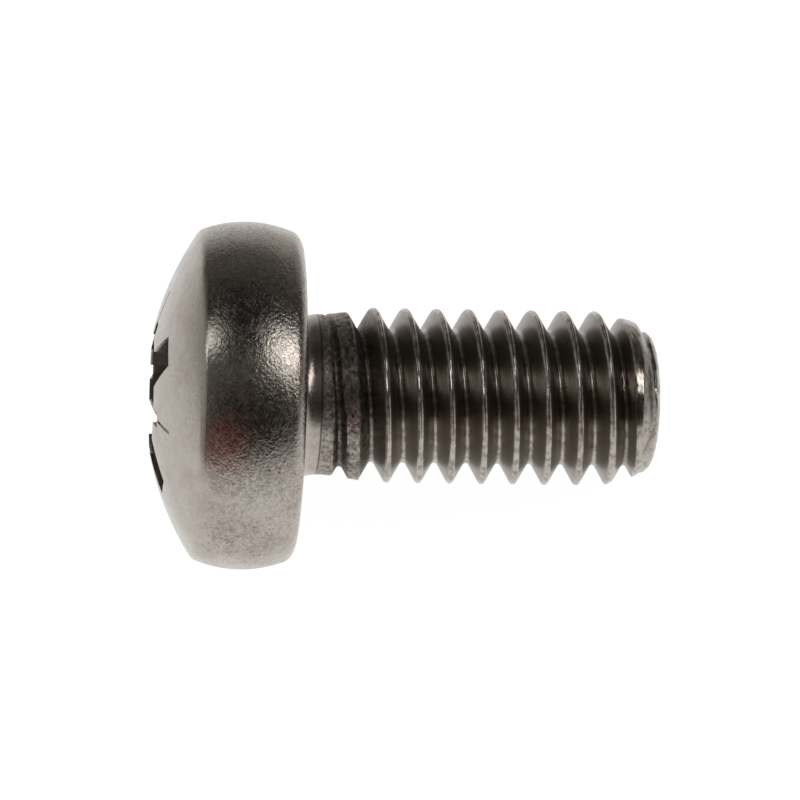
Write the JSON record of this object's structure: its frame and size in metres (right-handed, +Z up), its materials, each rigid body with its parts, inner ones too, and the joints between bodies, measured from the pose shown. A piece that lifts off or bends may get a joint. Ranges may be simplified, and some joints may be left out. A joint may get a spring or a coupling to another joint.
{
  "type": "machine screw",
  "caption": "Pan head machine screw with a ribbed cross recess and a fully threaded shank, for clamping a part against a tapped hole or nut.",
  "frame": {"origin": "under the middle of the screw's box, on the surface that it lies on", "axes": "+Z up; the tip points towards +X and slopes down, with the head's rim and a thread crest touching z = 0"},
  "size_m": [0.0114, 0.0076, 0.0076],
  "materials": {
    "stainless_steel": "plain cold-formed and rolled stainless steel with a soft satin, faintly tumbled sheen"
  },
  "bodies": {
    "root": {"screw": "stainless_steel"}
  },
  "joints": []
}
